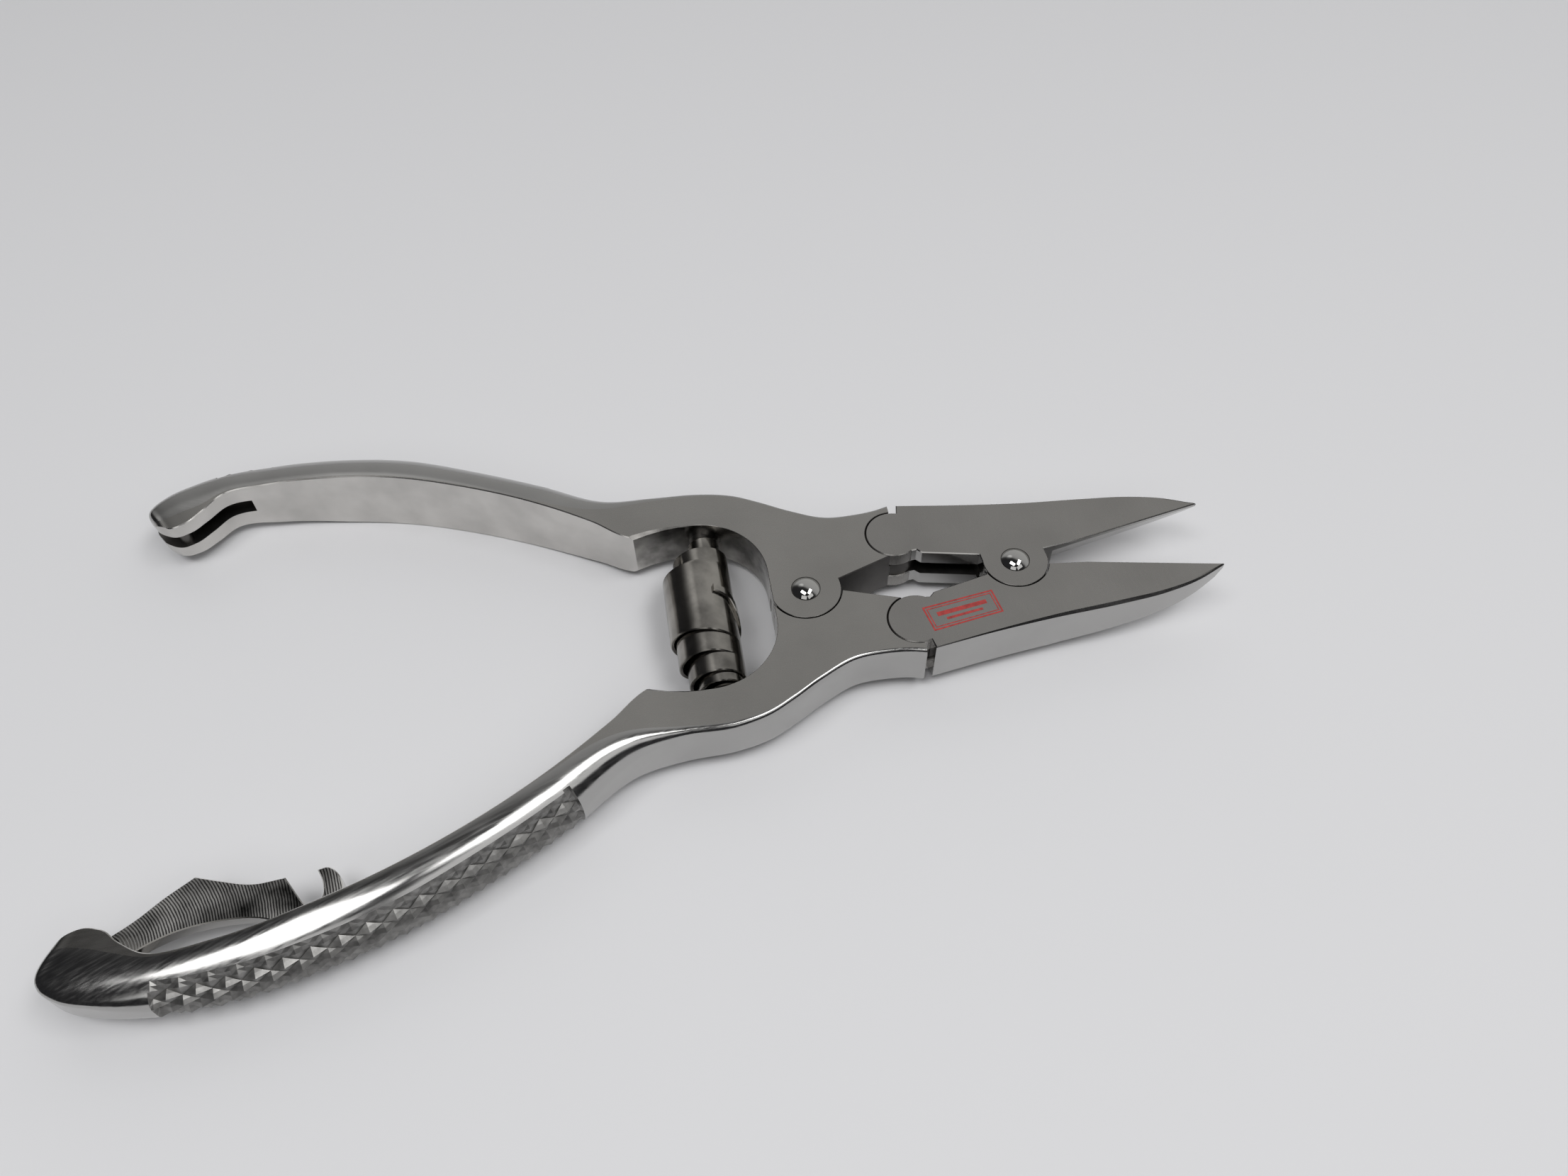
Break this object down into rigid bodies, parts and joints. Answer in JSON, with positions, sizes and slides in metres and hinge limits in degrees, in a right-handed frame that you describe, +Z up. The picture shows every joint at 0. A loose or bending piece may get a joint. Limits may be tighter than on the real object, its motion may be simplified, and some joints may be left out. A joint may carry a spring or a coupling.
{
  "type": "pet nail trimmer",
  "caption": "Double-action nail trimmer with riveted blades, a barrel spring between two curved handles and an end lock lever.",
  "frame": {"origin": "under the middle of the whole tool's bounding box, on the plane that it lies on", "axes": "+X from the handle ends to the blade tips, +Y from the lower to the upper handle, +Z up through the flat top faces"},
  "size_m": [0.1636, 0.088, 0.0115],
  "materials": {
    "handle_steel": "satin top faces, polished outer sides",
    "blade_steel": "satin",
    "polished_steel": "mirror polished",
    "spring_steel": "dark burnished",
    "lever_steel": "dark polished"
  },
  "bodies": {
    "lower_handle": {"lower_handle": "handle_steel", "handle_pivot_rivet": "polished_steel", "lower_spring_peg": "handle_steel", "barrel_spring": "spring_steel", "lock_lever_pin": "polished_steel"},
    "upper_handle": {"upper_handle": "handle_steel", "upper_spring_peg": "handle_steel", "lock_catch_pin": "polished_steel"},
    "lower_blade": {"lower_blade": "blade_steel", "blade_pivot_rivet": "polished_steel", "lower_knuckle_pin": "blade_steel"},
    "upper_blade": {"upper_blade": "blade_steel", "upper_knuckle_pin": "blade_steel"},
    "lock_lever": {"lock_lever": "lever_steel"}
  },
  "joints": [
    {"name": "handle_pivot", "type": "hinge", "parent": "lower_handle", "child": "upper_handle", "pos_m": [0.01996, 0.00318, 0.00573], "axis": [0, 0, 1], "range_deg": [0, 25.29], "stiffness_Nm_per_rad": 1.2, "springref_deg": -8.59, "deforming": ["barrel_spring"]},
    {"name": "lower_blade_knuckle", "type": "hinge", "parent": "lower_handle", "child": "lower_blade", "pos_m": [0.03476, -0.00477, 0.00573], "axis": [0, 0, 1], "range_deg": [0, 23.6]},
    {"name": "upper_blade_knuckle", "type": "hinge", "parent": "upper_handle", "child": "upper_blade", "pos_m": [0.03476, 0.01113, 0.00573], "axis": [0, 0, 1], "range_deg": [-23.6, 0]},
    {"name": "lock_lever_pivot", "type": "hinge", "parent": "lower_handle", "child": "lock_lever", "pos_m": [-0.07584, -0.03652, 0.00573], "axis": [0, 0, 1], "range_deg": [0, 82.3]}
  ],
  "couplings": [
    {"joint": "lower_blade_knuckle", "follows": "handle_pivot", "ratio": 0.93307},
    {"joint": "upper_blade_knuckle", "follows": "handle_pivot", "ratio": -0.93307}
  ]
}
